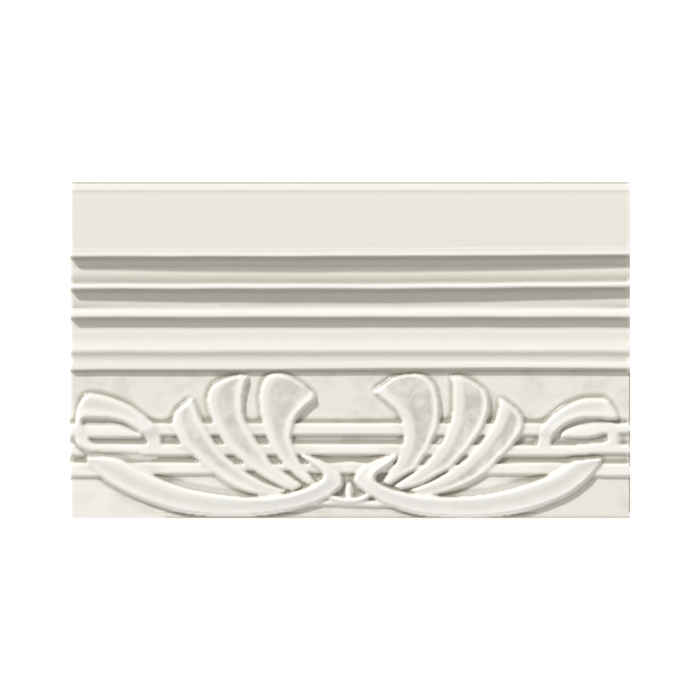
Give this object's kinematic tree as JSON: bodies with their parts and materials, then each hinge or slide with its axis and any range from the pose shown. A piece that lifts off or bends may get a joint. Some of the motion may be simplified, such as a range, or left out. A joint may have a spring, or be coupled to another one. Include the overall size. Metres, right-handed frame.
{
  "type": "porcelain relief wall tile",
  "caption": "Rectangular glazed wall tile with a stepped cornice moulding above a relief frieze of leaf fans, bands and scrolls.",
  "frame": {"origin": "centre of the flat back's plane, below the middle of the tile", "axes": "+X along the tile's length to the right of its face, +Y up the face as the tile hangs on a wall, +Z out of the face, away from the wall"},
  "size_m": [0.25, 0.15, 0.024],
  "materials": {
    "glazed_porcelain": "clear ivory gloss glaze on a white fired body, bare and matt on the back"
  },
  "bodies": {
    "root": {"relief_tile": "glazed_porcelain"}
  },
  "joints": []
}
